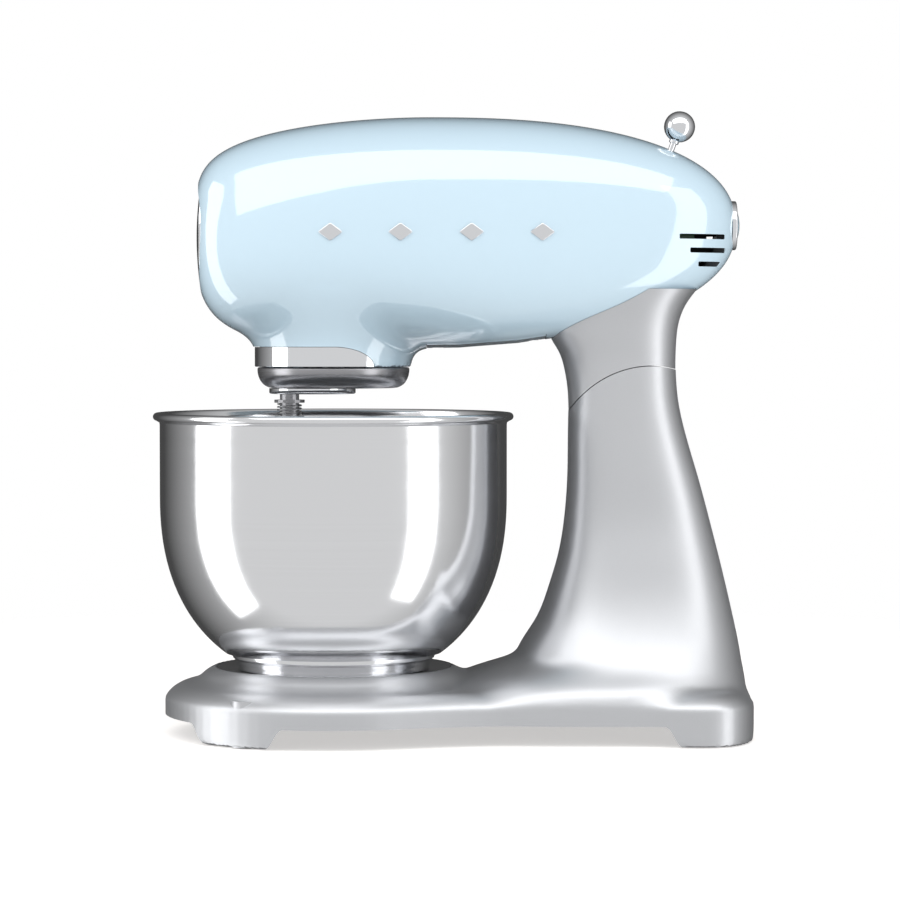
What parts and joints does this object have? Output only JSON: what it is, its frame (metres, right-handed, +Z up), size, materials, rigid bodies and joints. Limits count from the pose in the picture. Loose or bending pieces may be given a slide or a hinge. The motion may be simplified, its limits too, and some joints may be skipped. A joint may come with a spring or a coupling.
{
  "type": "stand mixer",
  "caption": "Tilt-head stand mixer: hollow stand with curved column, polished bowl, rounded enamelled head, planetary drive, speed lever and rear release button.",
  "frame": {"origin": "on the table under the middle of the machine's bounding box", "axes": "+Z up, -X to the front (bowl end), +Y to the left of a user who faces the bowl end"},
  "size_m": [0.3652, 0.221, 0.3809],
  "materials": {
    "silver_paint": "satin silver enamel on cast aluminium",
    "blue_enamel": "gloss pale blue enamel",
    "polished_steel": "mirror polished",
    "bowl_steel": "polished stainless steel, faint turning lines",
    "dark_satin": "dark satin metal",
    "steel": "machined steel",
    "brass": "machined brass",
    "copper": "varnished copper",
    "rubber": "matt black",
    "plastic": "moulded black plastic",
    "circuit": "green board"
  },
  "bodies": {
    "stand": {"stand_casting": "silver_paint", "bottom_plate": "plastic", "bottom_plate_screw_1": "steel", "bottom_plate_screw_2": "steel", "bottom_plate_screw_3": "steel", "bottom_plate_screw_4": "steel", "foot_pad_front_left": "rubber", "foot_pad_front_right": "rubber", "foot_pad_rear_left": "rubber", "foot_pad_rear_right": "rubber", "bowl_seat": "polished_steel", "bowl_seat_screw_1": "steel", "bowl_seat_screw_2": "steel", "bowl_seat_screw_3": "steel", "cable_gland": "rubber", "hinge_fork": "steel", "hinge_pin": "steel", "latch_catch": "steel"},
    "bowl": {"bowl": "bowl_steel"},
    "head": {"neck_casting": "silver_paint", "hinge_bush_left": "brass", "hinge_bush_right": "brass", "head_housing": "blue_enamel", "head_bottom_cover": "blue_enamel", "cover_screw_front": "steel", "cover_screw_rear": "steel", "front_cap": "polished_steel", "hub_ring": "polished_steel", "button_ring": "polished_steel", "latch_pin": "steel", "motor_stator": "steel", "field_coil_lower": "copper", "field_coil_upper": "copper", "motor_front_bracket": "plastic", "motor_rear_bracket": "plastic", "armature_bearing_front": "steel", "armature_bearing_rear": "steel", "carbon_brush_left": "plastic", "carbon_brush_right": "plastic", "control_board": "circuit", "gearbox_frame": "steel", "drive_shaft_bush": "brass", "ring_gear": "steel"},
    "armature": {"armature_shaft": "steel", "armature_core": "steel", "commutator": "copper", "cooling_fan": "plastic"},
    "layshaft": {"layshaft": "steel", "reduction_gear": "steel"},
    "planetary": {"planetary_hub": "dark_satin", "planetary_cap": "polished_steel", "drive_shaft": "steel", "crown_gear": "brass"},
    "beater_drive": {"beater_shaft": "polished_steel", "beater_spring": "steel"},
    "spring_washer": {"spring_washer": "polished_steel"},
    "speed_lever": {"speed_lever_stem": "polished_steel", "speed_lever_knob": "polished_steel"},
    "release_button": {"release_button": "blue_enamel"},
    "latch": {"latch_hook": "steel"}
  },
  "joints": [
    {"name": "head_tilt", "type": "hinge", "parent": "stand", "child": "head", "pos_m": [0.12135, 0, 0.1669], "axis": [0, 1, 0], "range_deg": [0, 30]},
    {"name": "bowl_lift", "type": "slide", "parent": "stand", "child": "bowl", "axis": [0, 0, 1], "range_m": [0, 0.03]},
    {"name": "planetary_spin", "type": "hinge", "parent": "head", "child": "planetary", "pos_m": [-0.0721, 0, 0.2247], "axis": [0, 0, 1], "continuous": true},
    {"name": "beater_spin", "type": "hinge", "parent": "planetary", "child": "beater_drive", "pos_m": [-0.0991, 0, 0.204], "axis": [0, 0, 1], "continuous": true},
    {"name": "layshaft_spin", "type": "hinge", "parent": "head", "child": "layshaft", "pos_m": [0, 0, 0.288], "axis": [1, 0, 0], "continuous": true},
    {"name": "motor_spin", "type": "hinge", "parent": "head", "child": "armature", "pos_m": [0.058, 0, 0.318], "axis": [1, 0, 0], "continuous": true},
    {"name": "spring_push", "type": "slide", "parent": "beater_drive", "child": "spring_washer", "axis": [0, 0, 1], "range_m": [0, 0.0025], "stiffness_N_per_m": 800, "deforming": ["beater_spring"]},
    {"name": "speed_lever_swing", "type": "hinge", "parent": "head", "child": "speed_lever", "pos_m": [0.1194, 0, 0.315], "axis": [0, -1, 0], "range_deg": [0, 25]},
    {"name": "button_press", "type": "slide", "parent": "head", "child": "release_button", "axis": [-1, 0, 0], "range_m": [0, 0.005], "stiffness_N_per_m": 600},
    {"name": "latch_swing", "type": "hinge", "parent": "head", "child": "latch", "pos_m": [0.104, 0, 0.248], "axis": [0, -1, 0], "range_deg": [0, 5]}
  ],
  "couplings": [
    {"joint": "beater_spin", "follows": "planetary_spin", "ratio": -4},
    {"joint": "layshaft_spin", "follows": "planetary_spin", "ratio": 4},
    {"joint": "motor_spin", "follows": "planetary_spin", "ratio": -20},
    {"joint": "latch_swing", "follows": "button_press", "rad_per_m": 15.873}
  ]
}
